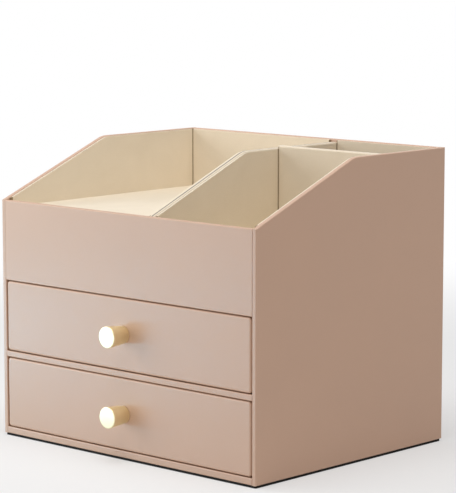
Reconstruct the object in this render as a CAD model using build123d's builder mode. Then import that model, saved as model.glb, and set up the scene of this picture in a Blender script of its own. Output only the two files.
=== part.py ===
# Vanity organizer: a case of wrapped board with two drawers under an open, divided tray.
# X points right, Y to the back, Z up, in millimetres. The origin is on the table,
# under the middle of the case.
import os
from math import atan2, tan

from build123d import *

os.makedirs("parts", exist_ok=True)

# Case
case_width = 260
case_depth = 210
board = 4.5  # wrapped board of the front, back and level panels
side_board = 3.8  # the side panels are thinner
base_board = 5.1  # and the base a little thicker
drawer_opening = 54.5  # clear height of one drawer opening
apron_height = 61  # front panel above the upper drawer
rim_rise = 42  # climb of the side rim from front to back
rim_rise_depth = 105  # depth over which the rim climbs
rim_bend_radius = 22  # easing where the climb turns level
bend_limit_share = 0.9  # most of the shorter run beside the bend that the easing takes up
wrap_radius = 0.8  # rounding of a wrapped edge
wrap_limit_share = 0.4  # largest rounding, as a share of the board it is on
groove_depth = 1.2  # housings that the level boards and drawer bottoms seat in
sheet_thickness = 1.8  # non-slip sheet under the case
sheet_inset = 0.8
sheet_corner_radius = 1.5

# Tray
divider_offset = 25.6  # joint of the two divider leaves, right of the middle
divider_leaf = 2.3
divider_drop = 2.1  # lengthwise divider below the level part of the side rim
divider_rise_depth = 95.5  # depth over which the divider rim climbs, from the apron
cross_setback = 137.4  # case front to the cross divider
cross_drop = 0.3  # cross divider below the side rim
platform_drop = 5  # raised floor of the left bay below the front rim
platform_board = 4
bearer_width = 8
bearer_count = 3
lining = 1.5  # folded lining card on the tray walls
lining_drop = 0.7  # top edge of the lining below the rim
floor_card = 1.2  # lined card on the well and drawer floors
card_gap = 0.3

# Drawers
reveal = 0.6  # gap above and below a drawer front
side_gap = 1  # gap on each side of a drawer
running_gap = 0.4  # drawer walls above the board they run on
stop_gap = 0.5  # closed drawer to the back panel
drawer_front_board = 7
drawer_corner_radius = 2.4
drawer_edge_radius = 1.6
drawer_wall = 3.5
drawer_wall_drop = 9  # top of the drawer walls below the top of the opening
drawer_bottom_board = 2.5
drawer_bottom_lift = 2  # underside of the drawer bottom above the lower edges of the walls

# Knobs and their screws
knob_face_diameter = 16
knob_base_diameter = 13
knob_length = 17
knob_chamfer = 0.5
screw_diameter = 4
screw_grip = 8  # length of screw inside the knob
screw_tip_gap = 1
screw_clearance = 0.15  # round the screw, all the way along
screw_head_diameter = 8
screw_head_height = 2.6
screw_head_chamfer = 0.9
recess_length = 4.4
recess_width = 1
recess_depth = 1.4
washer_diameter = 10
washer_thickness = 0.8

# Places that several pieces share
case_front = -case_depth / 2
case_back = case_depth / 2
inner_width = case_width - 2 * side_board
inner_half = inner_width / 2
tray_front = case_front + board
back_inside = case_back - board
inner_depth = back_inside - tray_front
inner_middle = (tray_front + back_inside) / 2

case_bottom = sheet_thickness
lower_floor = case_bottom + base_board
shelf_bottom = lower_floor + drawer_opening
upper_floor = shelf_bottom + board
tray_bottom = upper_floor + drawer_opening
tray_top = tray_bottom + board
rim_front = tray_bottom + apron_height
rim_back = rim_front + rim_rise
divider_top = rim_back - divider_drop

# Rims: where each starts to climb from the height of the apron, where it bends, and its level height
side_rim = (case_front, case_front + rim_rise_depth, rim_back)
divider_rim = (tray_front, tray_front + divider_rise_depth, divider_top)

divider_left = divider_offset - divider_leaf
divider_right = divider_offset + divider_leaf
cross_front = case_front + cross_setback
cross_back = cross_front + board
platform_top = rim_front - platform_drop
platform_bottom = platform_top - platform_board

board_rounding = min(wrap_radius, wrap_limit_share * board)
side_rounding = min(wrap_radius, wrap_limit_share * side_board)
leaf_rounding = min(wrap_radius, wrap_limit_share * divider_leaf)


def rim_height(y, rim):
    """Height of a rim above the table, at depth y."""
    climb_front, bend, level = rim
    climb_share = min((y - climb_front) / (bend - climb_front), 1)
    return rim_front + (level - rim_front) * climb_share


def rim_profile(x, front, back, bottom, rim, drop=0):
    """Upright outline at x, from front to back, with its top along a climbing rim."""
    climb_front, bend, level = rim
    corners = [(front, bottom), (front, rim_height(front, rim) - drop)]
    bends = [(bend, level - drop)] if front < bend < back else []
    ends = [(back, rim_height(back, rim) - drop), (back, bottom)]
    # Run that the easing takes up on each side of the bend, for each unit of its radius
    bend_slope = tan(atan2(level - rim_front, bend - climb_front) / 2)
    with BuildSketch(Plane.YZ.offset(x)) as profile:
        with BuildLine():
            Polyline(*corners, *bends, *ends, close=True)
        make_face()
        for corner in bends:
            shorter_run = min(bend - front, back - bend)
            bend_radius = min(rim_bend_radius, bend_limit_share * shorter_run / bend_slope)
            fillet(profile.vertices().sort_by_distance(corner)[0], bend_radius)
    return profile.sketch


def rim_edges(piece):
    """Edges that run along the rim of a piece, on both of its faces."""
    along = piece.edges().filter_by(Axis.X, reverse=True)
    return along.filter_by(lambda edge: edge.center().Z > rim_front)


# Side panels: the outer edges are wrapped all round, the inner ones along the front and the rim.
# Three stopped grooves house the base, the shelf and the tray floor.
with BuildPart() as right_side:
    extrude(rim_profile(inner_half, case_front, case_back, case_bottom, side_rim), amount=side_board)
    outer_edges = right_side.faces().sort_by(Axis.X)[-1].edges()
    inner_edges = right_side.faces().sort_by(Axis.X)[0].edges()
    inner_rim = inner_edges.filter_by(lambda edge: edge.center().Z > rim_front)
    inner_front = inner_edges.filter_by(Axis.Z).sort_by(Axis.Y)[0]
    fillet(outer_edges + inner_rim + [inner_front], side_rounding)
    with BuildSketch(Plane.YZ.offset(inner_half)):
        for groove_bottom, groove in ((case_bottom, base_board), (shelf_bottom, board), (tray_bottom, board)):
            with Locations((inner_middle, groove_bottom + groove / 2)):
                Rectangle(inner_depth, groove)
    extrude(amount=groove_depth, mode=Mode.SUBTRACT)
right_side.part.label = "right_side_panel"
export_step(right_side.part, "parts/right_side_panel.step")

with BuildPart() as left_side:
    mirror(right_side.part, about=Plane.YZ)
left_side.part.label = "left_side_panel"
export_step(left_side.part, "parts/left_side_panel.step")

# Base and drawer shelf: housed at the sides, with a front lip that shows between the side panels.
for level_name, level_bottom, level_board in (
    ("base_panel", case_bottom, base_board),
    ("drawer_shelf", shelf_bottom, board),
):
    with BuildPart() as level:
        with BuildSketch(Plane.XY.offset(level_bottom)):
            with Locations((0, inner_middle)):
                Rectangle(inner_width + 2 * groove_depth, inner_depth)
            with Locations((0, case_front + board / 2)):
                Rectangle(inner_width, board)
        extrude(amount=level_board)
        fillet(level.edges().filter_by(Axis.X).group_by(Axis.Y)[0], board_rounding)
    level.part.label = level_name
    export_step(level.part, f"parts/{level_name}.step")

# Tray floor: housed at the sides, behind the apron.
with BuildPart() as tray_floor:
    with BuildSketch(Plane.XY.offset(tray_bottom)):
        with Locations((0, inner_middle)):
            Rectangle(inner_width + 2 * groove_depth, inner_depth)
    extrude(amount=board)
tray_floor.part.label = "tray_floor"
export_step(tray_floor.part, "parts/tray_floor.step")

# Front apron: between the side panels and flush with their front edges.
with BuildPart() as apron:
    with BuildSketch(Plane.XY.offset(tray_bottom)):
        with Locations((0, case_front + board / 2)):
            Rectangle(inner_width, board)
    extrude(amount=apron_height)
    long_edges = apron.edges().filter_by(Axis.X)
    lower_front_edge = long_edges.group_by(Axis.Z)[0].sort_by(Axis.Y)[0]
    fillet(long_edges.group_by(Axis.Z)[-1] + [lower_front_edge], board_rounding)
apron.part.label = "front_apron"
export_step(apron.part, "parts/front_apron.step")

# Back panel: between the side panels, as high as the level part of the rim.
with BuildPart() as back_panel:
    with BuildSketch(Plane.XY.offset(case_bottom)):
        with Locations((0, case_back - board / 2)):
            Rectangle(inner_width, board)
    extrude(amount=rim_back - case_bottom)
    fillet(back_panel.edges().filter_by(Axis.X).group_by(Axis.Z)[-1], board_rounding)
back_panel.part.label = "back_panel"
export_step(back_panel.part, "parts/back_panel.step")

# Non-slip sheet: bonded under the case, a little inside its outline.
with BuildPart() as base_sheet:
    with BuildSketch():
        RectangleRounded(case_width - 2 * sheet_inset, case_depth - 2 * sheet_inset, sheet_corner_radius)
    extrude(amount=sheet_thickness)
base_sheet.part.label = "base_sheet"
export_step(base_sheet.part, "parts/base_sheet.step")

# Lengthwise divider: two leaves glued face to face. Its rim starts level with the apron, behind it,
# stops a little below the side rim and is rounded along the outer face of each leaf.
for leaf_name, leaf_left, outer_side in (
    ("divider_left_leaf", divider_left, 0),
    ("divider_right_leaf", divider_offset, -1),
):
    with BuildPart() as leaf:
        leaf_profile = rim_profile(leaf_left, tray_front, back_inside, tray_top, divider_rim)
        extrude(leaf_profile, amount=divider_leaf)
        fillet(rim_edges(leaf).group_by(Axis.X)[outer_side], leaf_rounding)
    leaf.part.label = leaf_name
    export_step(leaf.part, f"parts/{leaf_name}.step")

# Cross divider: from the lengthwise divider to the right side panel.
cross_top = rim_height(cross_front, side_rim) - cross_drop
with BuildPart() as cross_divider:
    with BuildSketch(Plane.XY.offset(tray_top)):
        with Locations(((divider_right + inner_half) / 2, (cross_front + cross_back) / 2)):
            Rectangle(inner_half - divider_right, board)
    extrude(amount=cross_top - tray_top)
    fillet(cross_divider.edges().filter_by(Axis.X).group_by(Axis.Z)[-1], board_rounding)
cross_divider.part.label = "cross_divider"
export_step(cross_divider.part, "parts/cross_divider.step")

# Raised floor of the left bay, carried on upright bearers.
bay_width = divider_left + inner_half
bay_middle = (divider_left - inner_half) / 2
with BuildPart() as platform:
    with BuildSketch(Plane.XY.offset(platform_bottom)):
        with Locations((bay_middle, inner_middle)):
            Rectangle(bay_width, inner_depth)
    extrude(amount=platform_board)
platform.part.label = "bay_platform"
export_step(platform.part, "parts/bay_platform.step")

with BuildPart() as bearers:
    with BuildSketch(Plane.XY.offset(tray_top)):
        with Locations((bay_middle, inner_middle)):
            with GridLocations((bay_width - bearer_width) / (bearer_count - 1), 0, bearer_count, 1):
                Rectangle(bearer_width, inner_depth)
    extrude(amount=platform_bottom - tray_top)
bearers.part.label = "platform_bearers"
export_step(bearers.part, "parts/platform_bearers.step")

# Linings: a folded card sleeve on the four walls of each part of the tray.
# Each is given by its left and right walls with their rims, by its front and back walls, its floor
# and the tops of its end walls.
bay_sides = ((-inner_half, side_rim), (divider_left, divider_rim))
well_sides = ((divider_right, divider_rim), (inner_half, side_rim))
sleeves = {
    "bay_lining": (bay_sides, (tray_front, back_inside), platform_top, (rim_front, rim_back)),
    "lipstick_well_lining": (well_sides, (tray_front, cross_front), tray_top, (rim_front, cross_top)),
    "brush_well_lining": (well_sides, (cross_back, back_inside), tray_top, (cross_top, rim_back)),
}
for sleeve_name, (sides, (front, back), floor, (front_top, back_top)) in sleeves.items():
    (left, left_rim), (right, right_rim) = sides
    with BuildPart() as sleeve:
        extrude(rim_profile(left, front, back, floor, left_rim, lining_drop), amount=lining)
        extrude(rim_profile(right - lining, front, back, floor, right_rim, lining_drop), amount=lining)
        for wall_middle, wall_top in ((front + lining / 2, front_top), (back - lining / 2, back_top)):
            with BuildSketch(Plane.XY.offset(floor)):
                with Locations(((left + right) / 2, wall_middle)):
                    Rectangle(right - left - 2 * lining, lining)
            extrude(amount=wall_top - lining_drop - floor)
    sleeve.part.label = sleeve_name
    export_step(sleeve.part, f"parts/{sleeve_name}.step")

# Floor cards of the two wells, laid inside their sleeves.
well_middle = (divider_right + inner_half) / 2
card_margin = lining + card_gap
card_width = inner_half - divider_right - 2 * card_margin
for card_name, front, back in (
    ("lipstick_well_card", tray_front, cross_front),
    ("brush_well_card", cross_back, back_inside),
):
    with BuildPart() as well_card:
        with BuildSketch(Plane.XY.offset(tray_top)):
            with Locations((well_middle, (front + back) / 2)):
                Rectangle(card_width, back - front - 2 * card_margin)
        extrude(amount=floor_card)
    well_card.part.label = card_name
    export_step(well_card.part, f"parts/{card_name}.step")

# Drawers: the same nine pieces at two heights, flush with the case when closed.
front_face = case_front
front_rear = front_face + drawer_front_board
drawer_rear = back_inside - stop_gap
drawer_half = inner_half - side_gap
wall_inside = drawer_half - drawer_wall
wall_depth = drawer_rear - front_rear
back_wall_front = drawer_rear - drawer_wall
bottom_depth = back_wall_front - front_rear + 2 * groove_depth
bottom_middle = (front_rear + back_wall_front) / 2
bottom_width = 2 * (wall_inside + groove_depth)
knob_face = front_face - knob_length
screw_hole_radius = screw_diameter / 2 + screw_clearance
screw_seat = front_rear + washer_thickness
screw_tip = front_face - screw_grip

for drawer, opening_floor in (("upper_drawer", upper_floor), ("lower_drawer", lower_floor)):
    front_low = opening_floor + reveal
    front_high = opening_floor + drawer_opening - reveal
    front_middle = (front_low + front_high) / 2
    wall_low = opening_floor + running_gap
    wall_height = opening_floor + drawer_opening - drawer_wall_drop - wall_low
    bottom_low = wall_low + drawer_bottom_lift
    bottom_centre = bottom_low + drawer_bottom_board / 2
    bottom_top = bottom_low + drawer_bottom_board

    # Drawer front: a thick wrapped board, soft at its front edges, grooved behind for the bottom.
    with BuildPart() as drawer_front:
        with BuildSketch(Plane.XZ.offset(-front_rear)):
            with Locations((0, front_middle)):
                RectangleRounded(2 * drawer_half, front_high - front_low, drawer_corner_radius)
        extrude(amount=drawer_front_board)
        fillet(drawer_front.faces().sort_by(Axis.Y)[0].edges(), drawer_edge_radius)
        with BuildSketch(Plane.XZ.offset(-front_rear)):
            with Locations((0, bottom_centre)):
                Rectangle(bottom_width, drawer_bottom_board)
        extrude(amount=groove_depth, mode=Mode.SUBTRACT)
        with BuildSketch(Plane.XZ.offset(-front_rear)):
            with Locations((0, front_middle)):
                Circle(screw_hole_radius)
        extrude(amount=drawer_front_board, mode=Mode.SUBTRACT)
    drawer_front.part.label = f"{drawer}_front"
    export_step(drawer_front.part, f"parts/{drawer}_front.step")

    # Side walls: behind the front, grooved inside for the bottom. They run on their lower edges.
    with BuildPart() as right_wall:
        with BuildSketch(Plane.XY.offset(wall_low)):
            with Locations((drawer_half - drawer_wall / 2, (front_rear + drawer_rear) / 2)):
                Rectangle(drawer_wall, wall_depth)
        extrude(amount=wall_height)
        top_edges = right_wall.edges().filter_by(Axis.Y).group_by(Axis.Z)[-1]
        fillet(top_edges, min(wrap_radius, wrap_limit_share * drawer_wall))
        with BuildSketch(Plane.YZ.offset(wall_inside)):
            with Locations((bottom_middle, bottom_centre)):
                Rectangle(bottom_depth, drawer_bottom_board)
        extrude(amount=groove_depth, mode=Mode.SUBTRACT)
    right_wall.part.label = f"{drawer}_right_wall"
    export_step(right_wall.part, f"parts/{drawer}_right_wall.step")

    with BuildPart() as left_wall:
        mirror(right_wall.part, about=Plane.YZ)
    left_wall.part.label = f"{drawer}_left_wall"
    export_step(left_wall.part, f"parts/{drawer}_left_wall.step")

    # Back wall: between the side walls, with its own groove.
    with BuildPart() as back_wall:
        with BuildSketch(Plane.XY.offset(wall_low)):
            with Locations((0, drawer_rear - drawer_wall / 2)):
                Rectangle(2 * wall_inside, drawer_wall)
        extrude(amount=wall_height)
        top_edges = back_wall.edges().filter_by(Axis.X).group_by(Axis.Z)[-1]
        fillet(top_edges, min(wrap_radius, wrap_limit_share * drawer_wall))
        with BuildSketch(Plane.XZ.offset(-back_wall_front - groove_depth)):
            with Locations((0, bottom_centre)):
                Rectangle(2 * wall_inside, drawer_bottom_board)
        extrude(amount=groove_depth, mode=Mode.SUBTRACT)
    back_wall.part.label = f"{drawer}_back_wall"
    export_step(back_wall.part, f"parts/{drawer}_back_wall.step")

    # Bottom board, let into all four grooves.
    with BuildPart() as bottom:
        with BuildSketch(Plane.XY.offset(bottom_low)):
            with Locations((0, bottom_middle)):
                Rectangle(bottom_width, bottom_depth)
        extrude(amount=drawer_bottom_board)
    bottom.part.label = f"{drawer}_bottom"
    export_step(bottom.part, f"parts/{drawer}_bottom.step")

    # Lined floor card.
    with BuildPart() as drawer_card:
        with BuildSketch(Plane.XY.offset(bottom_top)):
            with Locations((0, bottom_middle)):
                Rectangle(2 * (wall_inside - card_gap), back_wall_front - front_rear - 2 * card_gap)
        extrude(amount=floor_card)
    drawer_card.part.label = f"{drawer}_card"
    export_step(drawer_card.part, f"parts/{drawer}_card.step")

    # Knob: a turned drum that widens towards its flat face, bored for its screw.
    with BuildPart() as knob:
        with BuildSketch(Plane.YZ) as knob_profile:
            with BuildLine():
                Polyline(
                    (front_face, front_middle),
                    (front_face, front_middle + knob_base_diameter / 2),
                    (knob_face, front_middle + knob_face_diameter / 2),
                    (knob_face, front_middle),
                    close=True,
                )
            make_face()
            face_corner = knob_profile.vertices().group_by(Axis.X)[0].sort_by(Axis.Y)[-1]
            chamfer(face_corner, knob_chamfer)
        revolve(axis=Axis((0, 0, front_middle), (0, 1, 0)))
        with BuildSketch(Plane.XZ.offset(-front_face)):
            with Locations((0, front_middle)):
                Circle(screw_hole_radius)
        extrude(amount=screw_grip + screw_tip_gap, mode=Mode.SUBTRACT)
    knob.part.label = f"{drawer}_knob"
    export_step(knob.part, f"parts/{drawer}_knob.step")

    # Screw: from inside the drawer through the front into the knob, with a cross recess in its head.
    with BuildPart() as screw:
        with BuildSketch(Plane.XZ.offset(-screw_seat - screw_head_height)):
            with Locations((0, front_middle)):
                Circle(screw_head_diameter / 2)
        extrude(amount=screw_head_height)
        chamfer(screw.edges().sort_by(Axis.Y)[-1], screw_head_chamfer)
        with BuildSketch(Plane.XZ.offset(-screw_seat)):
            with Locations((0, front_middle)):
                Circle(screw_diameter / 2)
        extrude(amount=screw_seat - screw_tip)
        with BuildSketch(Plane.XZ.offset(-screw_seat - screw_head_height)):
            with Locations((0, front_middle)):
                Rectangle(recess_length, recess_width)
                Rectangle(recess_width, recess_length)
        extrude(amount=recess_depth, mode=Mode.SUBTRACT)
    screw.part.label = f"{drawer}_knob_screw"
    export_step(screw.part, f"parts/{drawer}_knob_screw.step")

    # Washer under the screw head.
    with BuildPart() as washer:
        with BuildSketch(Plane.XZ.offset(-screw_seat)):
            with Locations((0, front_middle)):
                Circle(washer_diameter / 2)
                Circle(screw_hole_radius, mode=Mode.SUBTRACT)
        extrude(amount=washer_thickness)
    washer.part.label = f"{drawer}_knob_washer"
    export_step(washer.part, f"parts/{drawer}_knob_washer.step")
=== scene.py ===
from math import cos, pi, radians, sin

import bpy
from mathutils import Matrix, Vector


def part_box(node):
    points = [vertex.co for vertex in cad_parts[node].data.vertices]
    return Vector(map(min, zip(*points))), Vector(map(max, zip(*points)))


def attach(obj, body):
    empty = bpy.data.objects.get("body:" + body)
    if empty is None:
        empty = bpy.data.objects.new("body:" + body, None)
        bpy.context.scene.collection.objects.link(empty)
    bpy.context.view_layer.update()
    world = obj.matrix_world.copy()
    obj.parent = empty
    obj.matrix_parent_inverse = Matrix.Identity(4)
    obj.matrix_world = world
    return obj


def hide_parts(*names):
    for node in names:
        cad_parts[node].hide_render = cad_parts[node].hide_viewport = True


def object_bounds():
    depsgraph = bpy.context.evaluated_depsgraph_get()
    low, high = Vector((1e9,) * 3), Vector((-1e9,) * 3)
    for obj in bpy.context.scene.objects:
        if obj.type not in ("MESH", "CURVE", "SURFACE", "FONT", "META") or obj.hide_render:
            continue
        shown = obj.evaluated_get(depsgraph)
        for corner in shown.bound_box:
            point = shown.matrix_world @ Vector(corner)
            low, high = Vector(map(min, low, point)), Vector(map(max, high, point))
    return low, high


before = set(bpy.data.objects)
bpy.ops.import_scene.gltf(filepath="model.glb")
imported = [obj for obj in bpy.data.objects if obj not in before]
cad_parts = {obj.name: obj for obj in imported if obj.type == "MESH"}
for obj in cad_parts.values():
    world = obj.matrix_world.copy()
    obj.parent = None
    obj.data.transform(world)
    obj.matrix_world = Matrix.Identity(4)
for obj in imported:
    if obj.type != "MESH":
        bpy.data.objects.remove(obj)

cad_low, cad_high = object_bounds()

# Non-slip sheet: thin black foam, cut a little smaller than the case and bonded under it
# with contact glue.
# The pits are painted darker than the foam: painted shade in the recesses.
foam_pit_shade = (0.007, 0.006, 0.005, 1)
foam_black = (0.015, 0.0125, 0.011, 1)
foam_cell = 0.0006
foam_pit_depth = 0.0002


def set_inputs(node, **inputs):
    """Sets a node's inputs by their names, with an underscore for each space."""
    for socket, value in inputs.items():
        node.inputs[socket.replace("_", " ")].default_value = value


def makers(tree):
    """Two short makers for a node tree: one adds a node and sets it up, one links two sockets."""
    def add(kind, operation=None, **inputs):
        made = tree.nodes.new("ShaderNode" + kind)
        if operation:
            made.operation = operation
        set_inputs(made, **inputs)
        return made

    return add, tree.links.new


def new_finish(name):
    """A material with its surface shader, and the makers of its nodes and links."""
    finish = bpy.data.materials.new(name)
    finish.use_nodes = True
    return finish, finish.node_tree.nodes["Principled BSDF"], *makers(finish.node_tree)


def two_tone(surface, add, link, share, low_colour, high_colour):
    """Colours a surface between two colours, by a share that runs from 0 to 1 over it."""
    tint = add("Mix")
    tint.data_type = "RGBA"
    set_inputs(tint, A=low_colour, B=high_colour)
    link(share, tint.inputs["Factor"])
    link(tint.outputs["Result"], surface.inputs["Base Color"])


def relief(surface, add, link, height, strength, depth):
    """Gives a surface fine relief of a depth, by a height that runs from 0 to 1 over it."""
    bump = add("Bump", Strength=strength, Distance=depth)
    link(height, bump.inputs["Height"])
    link(bump.outputs["Normal"], surface.inputs["Normal"])


def dress(finish, *names):
    """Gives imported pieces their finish."""
    for name in names:
        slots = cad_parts[name].data.materials
        slots.clear()
        slots.append(finish)


def foam_sheet():
    """Matt black foam: cut cells that show as fine pits, painted darker in the pits as shade."""
    finish, surface, add, link = new_finish("foam_sheet")
    cells = add("TexVoronoi", Scale=1 / foam_cell)
    link(add("TexCoord").outputs["Object"], cells.inputs["Vector"])
    two_tone(surface, add, link, cells.outputs["Distance"], foam_pit_shade, foam_black)
    relief(surface, add, link, cells.outputs["Distance"], strength=0.5, depth=foam_pit_depth)
    set_inputs(surface, Roughness=0.9, Specular_IOR_Level=0.25)
    return finish


dress(foam_sheet(), "base_sheet")

# Case panels: fibreboard about 4 to 5 mm thick, cut to shape and wrapped in smooth taupe leatherette.
# The side panels carry the climbing rim. Base and shelf are glued into grooves in them, and the
# apron and back panel are glued between them.
taupe = (0.580, 0.365, 0.250, 1)
# Colour of the creases: painted shade, a little darker than the crowns.
taupe_crease_shade = (0.544, 0.337, 0.228, 1)
pebble = 0.0006  # width of one pressed pebble
pebble_depth = 0.00004
crease_span = (0, 0.35)  # how far a crease reaches into a pebble, in pebbles
wobbles_per_metre = 900
clouds_per_metre = 16
roll_span = (0, 40)  # places along the roll that the boards are cut from
pebble_share = 0.5  # of the colour, the rest follows the clouds
wrap_roughness = (0.36, 0.44)
noise_span = (0.3, 0.7)  # where most of a noise lies


def ranged(add, link, value, span, onto=(0, 1), smooth=False):
    """Carries a value over from one span to another, eased at both ends where it is smooth."""
    carried = add("MapRange", From_Min=span[0], From_Max=span[1], To_Min=onto[0], To_Max=onto[1])
    if smooth:
        carried.interpolation_type = "SMOOTHSTEP"
    link(value, carried.inputs["Value"])
    return carried.outputs["Result"]


def leatherette(name, colour, crease_shade_colour, shine):
    """Smooth leatherette: pressed pebbles with fine creases between them, painted a little darker as
    shade, faintly clouded, satin.
    """
    finish, surface, add, link = new_finish(name)
    place = add("TexCoord").outputs["Object"]

    # No two boards are cut from the same stretch of the roll.
    clouds = add("TexNoise", Scale=clouds_per_metre, Detail=4, Roughness=0.6)
    clouds.noise_dimensions = "4D"
    link(place, clouds.inputs["Vector"])
    link(ranged(add, link, add("ObjectInfo").outputs["Random"], (0, 1), roll_span), clouds.inputs["W"])
    cloud = clouds.outputs["Fac"]

    # Pebbles of uneven shape: the cell pattern is bent by a finer noise.
    wobble = add("TexNoise", Scale=wobbles_per_metre, Detail=2)
    link(place, wobble.inputs["Vector"])
    bent = add("VectorMath", "SCALE", Scale=pebble)
    link(wobble.outputs["Color"], bent.inputs[0])
    uneven = add("VectorMath", "ADD")
    link(place, uneven.inputs[0])
    link(bent.outputs["Vector"], uneven.inputs[1])
    creases = add("TexVoronoi", Scale=1 / pebble)
    creases.feature = "DISTANCE_TO_EDGE"
    link(uneven.outputs["Vector"], creases.inputs["Vector"])
    crown = ranged(add, link, creases.outputs["Distance"], crease_span, smooth=True)

    shade = add("Math", "MULTIPLY_ADD")
    shade.inputs[1].default_value = pebble_share
    link(crown, shade.inputs[0])
    link(ranged(add, link, cloud, noise_span, (0, 1 - pebble_share)), shade.inputs[2])
    # The creases get the darker colour: painted shade in them.
    two_tone(surface, add, link, shade.outputs["Value"], crease_shade_colour, colour)
    relief(surface, add, link, crown, strength=0.5, depth=pebble_depth)
    link(ranged(add, link, cloud, noise_span, wrap_roughness), surface.inputs["Roughness"])
    set_inputs(surface, Specular_IOR_Level=shine)
    return finish


wrap = leatherette("leatherette", taupe, taupe_crease_shade, shine=0.8)
dress(wrap, "base_panel", "left_side_panel", "right_side_panel", "back_panel", "front_apron",
      "drawer_shelf")

# Tray floor and the bearers of the raised floor: bare fibreboard, sawn to size and glued in.
# The raised floor and the floor cards cover them, so the board is left raw.
board_brown = (0.42, 0.29, 0.18, 1)
board_fleck = (0.30, 0.20, 0.12, 1)
board_fibres_per_metre = 700
board_fibre_depth = 0.0001
fleck_span = (0.4, 0.62)  # of the noise, from a fleck to plain board


def fibreboard():
    """Raw fibreboard: pressed brown fibres with darker flecks."""
    finish, surface, add, link = new_finish("fibreboard")
    fibres = add("TexNoise", Scale=board_fibres_per_metre, Detail=5, Roughness=0.7)
    link(add("TexCoord").outputs["Object"], fibres.inputs["Vector"])
    plain = ranged(add, link, fibres.outputs["Fac"], fleck_span)
    two_tone(surface, add, link, plain, board_fleck, board_brown)
    relief(surface, add, link, fibres.outputs["Fac"], strength=0.3, depth=board_fibre_depth)
    set_inputs(surface, Roughness=0.9)
    return finish


dress(fibreboard(), "tray_floor", "platform_bearers")

# Dividers of the tray: the lengthwise one is two thin leaves glued face to face, the cross divider
# one board. They are wrapped in cream leatherette to go with the lining and glued to the tray floor.
# Along the rim of the lengthwise one, painted shade marks the groove where the leaves meet.
cream_hide = (0.80, 0.70, 0.56, 1)
# Colour of the creases: painted shade, a little darker than the crowns.
cream_hide_crease_shade = (0.74, 0.64, 0.50, 1)
# Painted shade of the groove between the leaves, nearly black.
groove_shade = (0.06, 0.045, 0.03, 1)
groove_shade_half = 0.0010


def darkened(finish, colour, clear):
    """Mixes a darker colour, painted shade, into a finish where a mask falls from 1 to 0."""
    add, link = makers(finish.node_tree)
    base_colour = finish.node_tree.nodes["Principled BSDF"].inputs["Base Color"]
    both = add("Mix")
    both.data_type = "RGBA"
    both.inputs["A"].default_value = colour
    link(base_colour.links[0].from_socket, both.inputs["B"])
    link(clear, both.inputs["Factor"])
    link(both.outputs["Result"], base_colour)


def with_groove_shade(finish, seam_x):
    """A finish with painted shade along the upright plane where two leaves meet, for the groove between
    them.
    """
    add, link = makers(finish.node_tree)
    apart = add("SeparateXYZ")
    link(add("TexCoord").outputs["Object"], apart.inputs["Vector"])
    aside = add("Math", "SUBTRACT")
    aside.inputs[1].default_value = seam_x
    link(apart.outputs["X"], aside.inputs[0])
    away = add("Math", "ABSOLUTE")
    link(aside.outputs["Value"], away.inputs[0])
    darkened(finish, groove_shade, ranged(add, link, away.outputs["Value"], (0, groove_shade_half), smooth=True))
    return finish


cream_wrap = leatherette("cream_leatherette", cream_hide, cream_hide_crease_shade, shine=0.2)
leaf_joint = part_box("divider_left_leaf")[1].x
dress(with_groove_shade(cream_wrap, leaf_joint), "divider_left_leaf", "divider_right_leaf", "cross_divider")

# Linings: cream suede paper on card, folded into a ring and glued to the walls of each part of the tray.
# The raised floor and the loose floor cards are covered with the same paper.
cream = (0.85, 0.75, 0.60, 1)
cream_shade = (0.79, 0.69, 0.54, 1)
nap_fibre = 0.0004
nap_depth = 0.0001
nap_span = (0.35, 0.65)  # of the noise, from shaded to lit
fibre_share = 0.6  # of the nap's colour, the rest follows the way that it is brushed
strokes_per_metre = 35
# Painted shade in the inner corners of the lining rings, where the cards meet.
corner_shade_brown = (0.25, 0.17, 0.08, 1)
corner_shade_width = 0.0011
lining_card = 0.0015


def suede(name):
    """Short suede nap: a fine speckle of fibre ends, brushed one way and another."""
    finish, surface, add, link = new_finish(name)
    place = add("TexCoord").outputs["Object"]
    fibres = add("TexNoise", Scale=1 / nap_fibre, Detail=3, Roughness=0.6)
    link(place, fibres.inputs["Vector"])
    strokes = add("TexNoise", Scale=strokes_per_metre, Detail=3, Distortion=0.6)
    link(place, strokes.inputs["Vector"])
    nap = add("Math", "MULTIPLY_ADD")
    nap.inputs[1].default_value = fibre_share
    link(fibres.outputs["Fac"], nap.inputs[0])
    link(ranged(add, link, strokes.outputs["Fac"], (0, 1), (0, 1 - fibre_share)), nap.inputs[2])
    lit = ranged(add, link, nap.outputs["Value"], nap_span)
    two_tone(surface, add, link, lit, cream_shade, cream)
    relief(surface, add, link, fibres.outputs["Fac"], strength=0.4, depth=nap_depth)
    set_inputs(surface, Roughness=0.9, Sheen_Weight=0.3, Sheen_Roughness=0.5, Specular_IOR_Level=0.2)
    return finish


def with_corner_shade(finish, low, high):
    """A finish with painted shade in each inner corner of a ring of card with these outer corners."""
    add, link = makers(finish.node_tree)
    aside = add("VectorMath", "SUBTRACT")
    aside.inputs[1].default_value = (low + high) / 2
    link(add("TexCoord").outputs["Object"], aside.inputs[0])
    away = add("VectorMath", "ABSOLUTE")
    link(aside.outputs["Vector"], away.inputs[0])
    inward = add("VectorMath", "SUBTRACT")
    inward.inputs[0].default_value = (high - low) / 2
    link(away.outputs["Vector"], inward.inputs[1])
    apart = add("SeparateXYZ")
    link(inward.outputs["Vector"], apart.inputs["Vector"])
    from_corner = add("Math", "MAXIMUM")
    link(apart.outputs["X"], from_corner.inputs[0])
    link(apart.outputs["Y"], from_corner.inputs[1])
    corner_shade_span = (lining_card, lining_card + corner_shade_width)
    darkened(finish, corner_shade_brown, ranged(add, link, from_corner.outputs["Value"], corner_shade_span, smooth=True))
    return finish


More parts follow.
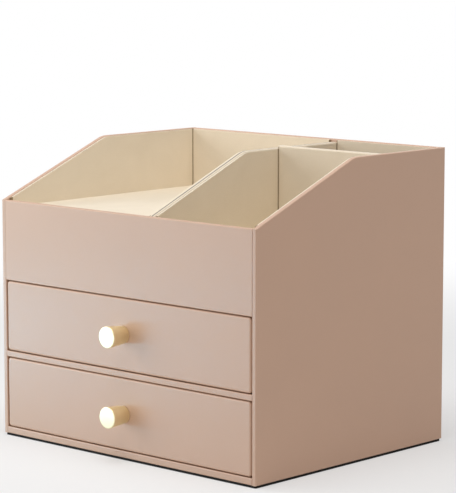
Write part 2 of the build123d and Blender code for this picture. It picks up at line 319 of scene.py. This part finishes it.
lining = suede("suede_paper")
dress(lining, "bay_platform", "lipstick_well_card", "brush_well_card")
for ring in ("bay_lining", "lipstick_well_lining", "brush_well_lining"):
    dress(with_corner_shade(suede(f"{ring}_paper"), *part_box(ring)), ring)

# Drawers: a thick front wrapped like the case, on a box of thin board walls and a thin board bottom
# that are covered with the suede paper. A loose card lies on the bottom.
drawers = ("upper_drawer", "lower_drawer")
lined_pieces = ("left_wall", "right_wall", "back_wall", "bottom", "card")
for drawer in drawers:
    dress(wrap, f"{drawer}_front")
    dress(lining, *(f"{drawer}_{piece}" for piece in lined_pieces))

# Knob screws and washers: zinc-plated steel, one of each to a knob. The screw is put in from inside
# the drawer, where its head shows, and draws the knob up to the front.
zinc_grey = (0.57, 0.57, 0.55, 1)
zinc_bright = (0.68, 0.68, 0.66, 1)
zinc_roughness = (0.26, 0.44)
spangles_per_metre = 1100


def zinc_plate():
    """Zinc plating: a dull metal with a faint spangle in its tone and gloss."""
    finish, surface, add, link = new_finish("zinc_plate")
    spangles = add("TexVoronoi", Scale=spangles_per_metre)
    link(add("TexCoord").outputs["Object"], spangles.inputs["Vector"])
    spangle = spangles.outputs["Distance"]
    two_tone(surface, add, link, spangle, zinc_grey, zinc_bright)
    link(ranged(add, link, spangle, (0, 1), zinc_roughness), surface.inputs["Roughness"])
    set_inputs(surface, Metallic=1)
    return finish


plated = zinc_plate()
for drawer in drawers:
    dress(plated, f"{drawer}_knob_screw", f"{drawer}_knob_washer")

# Knobs: turned from pale brass bar, wider at the face than at the drawer, satin polished in the lathe.
# Each is bored from behind for its screw.
brass_mark = (0.89, 0.80, 0.51, 1)
brass_bright = (0.96, 0.87, 0.58, 1)
brass_roughness = (0.38, 0.46)
turning_mark = 0.00022
turning_mark_depth = 0.00001
knob_base_radius = 0.0065
knob_edge = 0.0007  # rounding of the face's rim
knob_foot = 0.0003  # rounding at the drawer
bore_radius = 0.00215
bore_depth = 0.009
sharp_angle = radians(35)  # edges that turn further than this stay sharp
scene = bpy.context.scene


def satin_brass():
    """Satin brass: fine turning marks round the axis, which is the piece's own Y."""
    finish, surface, add, link = new_finish("satin_brass")
    apart = add("SeparateXYZ")
    link(add("TexCoord").outputs["Object"], apart.inputs["Vector"])
    across = add("CombineXYZ")
    link(apart.outputs["X"], across.inputs["X"])
    link(apart.outputs["Z"], across.inputs["Y"])
    radius = add("VectorMath", "LENGTH")
    link(across.outputs["Vector"], radius.inputs[0])
    along = add("CombineXYZ")
    link(radius.outputs["Value"], along.inputs["X"])
    link(apart.outputs["Y"], along.inputs["Y"])
    marks = add("TexNoise", Scale=1 / turning_mark, Detail=2)
    marks.noise_dimensions = "2D"
    link(along.outputs["Vector"], marks.inputs["Vector"])
    mark = marks.outputs["Fac"]
    two_tone(surface, add, link, ranged(add, link, mark, noise_span), brass_mark, brass_bright)
    relief(surface, add, link, mark, strength=0.08, depth=turning_mark_depth)
    link(ranged(add, link, mark, noise_span, brass_roughness), surface.inputs["Roughness"])
    set_inputs(surface, Metallic=1)
    return finish


def rounded(centre_radius, centre_depth, size, start, end, steps=6):
    """Points of an arc in the lathe's plane, as radius and depth, from one angle to another."""
    turns = (start + (end - start) * step / steps for step in range(steps + 1))
    return [(centre_radius + size * cos(turn), centre_depth + size * sin(turn)) for turn in turns]


def turned(name, outline, steps=96):
    """A piece turned round its own Y axis from an outline of radius and depth that ends on the axis."""
    points = []
    rings = []  # the numbers of the points round each point of the outline
    for radius, depth in outline:
        count = steps if radius else 1
        rings.append([len(points) + step % count for step in range(steps)])
        turns = [2 * pi * step / count for step in range(count)]
        points += [(radius * cos(turn), depth, radius * sin(turn)) for turn in turns]

    # On the axis two corners of a face are the same point, which is named once.
    faces = [
        list(dict.fromkeys((ring[step - 1], following[step - 1], following[step], ring[step])))
        for ring, following in zip(rings, rings[1:])
        for step in range(steps)
    ]
    mesh = bpy.data.meshes.new(name)
    mesh.from_pydata(points, [], faces)
    for face in mesh.polygons:
        face.use_smooth = True
    mesh.set_sharp_from_angle(angle=sharp_angle)
    piece = bpy.data.objects.new(name, mesh)
    scene.collection.objects.link(piece)
    return piece


knob_finish = satin_brass()
for drawer in drawers:
    knob_low, knob_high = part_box(f"{drawer}_knob")
    knob_middle = (knob_low + knob_high) / 2
    knob_radius = (knob_high.x - knob_low.x) / 2
    knob_length = knob_high.y - knob_low.y
    bore_end = knob_length - bore_depth
    outline = [(0, 0)]
    outline += rounded(knob_radius - knob_edge, knob_edge, knob_edge, -pi / 2, 0)
    outline += rounded(knob_base_radius - knob_foot, knob_length - knob_foot, knob_foot, 0, pi / 2)
    outline += [(bore_radius, knob_length), (bore_radius, bore_end), (0, bore_end)]
    knob = turned(f"{drawer}_turned_knob", outline)
    knob.location = (knob_middle.x, knob_low.y, knob_middle.z)
    knob.data.materials.append(knob_finish)
    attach(knob, drawer)
    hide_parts(f"{drawer}_knob")

# Floor: a wide sheet of white paper that takes the shadow and fades to plain white further out.
# Seen directly or in a reflection it glows a little, so that it stays near white beside the object.
floor_half = 3
floor_white = (0.92, 0.92, 0.92, 1)
paper_fibres_per_metre = 300
paper_fibre_depth = 0.0001
glow_share = 0.5  # of the floor's look, beside the object
glow_near = 0.8  # its strength there
fade_span = (0.25, 1.0)  # distance from the middle of the object over which the floor turns plain white
floor_mesh = bpy.data.meshes.new("floor")
floor_corners = [(x * floor_half, y * floor_half, 0) for x, y in ((-1, -1), (1, -1), (1, 1), (-1, 1))]
floor_mesh.from_pydata(floor_corners, [], [(0, 1, 2, 3)])
floor = bpy.data.objects.new("floor", floor_mesh)
scene.collection.objects.link(floor)


def seen_rays(tree):
    """1 where a ray comes from the camera, a mirror or glass, and 0 where it only carries light."""
    add, link = makers(tree)
    rays = add("LightPath")
    seen = rays.outputs["Is Camera Ray"]
    for kind in ("Is Glossy Ray", "Is Transmission Ray"):
        either = add("Math", "MAXIMUM")
        link(seen, either.inputs[0])
        link(rays.outputs[kind], either.inputs[1])
        seen = either.outputs["Value"]
    return seen


def white_paper():
    """Matt white paper whose glow grows with the distance from the object."""
    finish, surface, add, link = new_finish("white_paper")
    tree = finish.node_tree
    place = add("TexCoord").outputs["Object"]
    fibres = add("TexNoise", Scale=paper_fibres_per_metre, Detail=3)
    link(place, fibres.inputs["Vector"])
    relief(surface, add, link, fibres.outputs["Fac"], strength=0.1, depth=paper_fibre_depth)
    set_inputs(surface, Base_Color=floor_white, Roughness=1, Specular_IOR_Level=0)
    distance = add("VectorMath", "LENGTH")
    link(place, distance.inputs[0])
    away = distance.outputs["Value"]
    glowing = add("Math", "MULTIPLY")
    link(seen_rays(tree), glowing.inputs[0])
    link(ranged(add, link, away, fade_span, (glow_share, 1), smooth=True), glowing.inputs[1])
    glow = add("Emission")
    link(ranged(add, link, away, fade_span, (glow_near, 1), smooth=True), glow.inputs["Strength"])
    both = add("MixShader")
    link(glowing.outputs["Value"], both.inputs["Fac"])
    link(surface.outputs["BSDF"], both.inputs[1])
    link(glow.outputs["Emission"], both.inputs[2])
    link(both.outputs["Shader"], tree.nodes["Material Output"].inputs["Surface"])
    return finish


floor_mesh.materials.append(white_paper())

# Light: an even white room, a large soft lamp overhead, another at the front left and a weak, warm one
# at the right. A low, cool strip at the front left lays the photograph's pale sheen on the front.
white = (1, 1, 1, 1)
room_strength = 0.39
warm = (1, 0.62, 0.25)
cool = (0.22, 0.68, 1)
case_middle = Vector((0, 0, cad_high[2] / 2))


def white_room(strength):
    """An even white room that gives light at a strength and is plain white where it is seen."""
    world = bpy.data.worlds.new("room")
    world.use_nodes = True
    tree = world.node_tree
    add, link = makers(tree)
    lighting = tree.nodes["Background"]
    set_inputs(lighting, Color=white, Strength=strength)
    seen = add("Background", Color=white, Strength=1)
    both = add("MixShader")
    link(seen_rays(tree), both.inputs["Fac"])
    link(lighting.outputs["Background"], both.inputs[1])
    link(seen.outputs["Background"], both.inputs[2])
    link(both.outputs["Shader"], tree.nodes["World Output"].inputs["Surface"])
    return world


def soft_lamp(name, azimuth, distance, height, width, tall, power, colour=white[:3]):
    """A rectangular lamp at an azimuth and distance on the floor, turned to the middle of the case."""
    lamp_data = bpy.data.lights.new(name, "AREA")
    lamp_data.shape = "RECTANGLE"
    lamp_data.size = width
    lamp_data.size_y = tall
    lamp_data.energy = power
    lamp_data.color = colour
    lamp = bpy.data.objects.new(name, lamp_data)
    turn = radians(azimuth)
    lamp.location = (distance * sin(turn), -distance * cos(turn), height)
    lamp.rotation_euler = (lamp.location - case_middle).to_track_quat("Z", "Y").to_euler()
    lamp.visible_camera = False
    scene.collection.objects.link(lamp)


scene.world = white_room(room_strength)
soft_lamp("overhead_lamp", azimuth=30, distance=0.20, height=1.30, width=0.80, tall=0.80, power=9.4)
soft_lamp("front_left_lamp", azimuth=-54, distance=1.10, height=0.45, width=0.70, tall=0.70, power=5.5)
soft_lamp("right_lamp", azimuth=95, distance=1.20, height=0.60, width=0.90, tall=0.90, power=0.45,
          colour=warm)
soft_lamp("low_lamp", azimuth=-45, distance=0.50, height=0.022, width=0.60, tall=0.04, power=0.57,
          colour=cool)

# Camera: the photograph's own viewpoint, to the right of the front and a little above, worked out
# from the corners of the case.
camera_azimuth = radians(42.851)
camera_elevation = radians(7.794)
camera_distance = 1.755569
camera_target = Vector((0.001794, 0.004951, 0.14679))
camera_data = bpy.data.cameras.new("camera")
camera_data.sensor_width = 36
camera_data.lens = 169.58
camera_data.clip_end = 20
camera = bpy.data.objects.new("camera", camera_data)
towards_camera = Vector((
    sin(camera_azimuth) * cos(camera_elevation),
    -cos(camera_azimuth) * cos(camera_elevation),
    sin(camera_elevation),
))
camera.location = camera_target + towards_camera * camera_distance
camera.rotation_euler = (pi / 2 - camera_elevation, 0, camera_azimuth)
scene.collection.objects.link(camera)
scene.camera = camera
scene.view_settings.view_transform = "Standard"
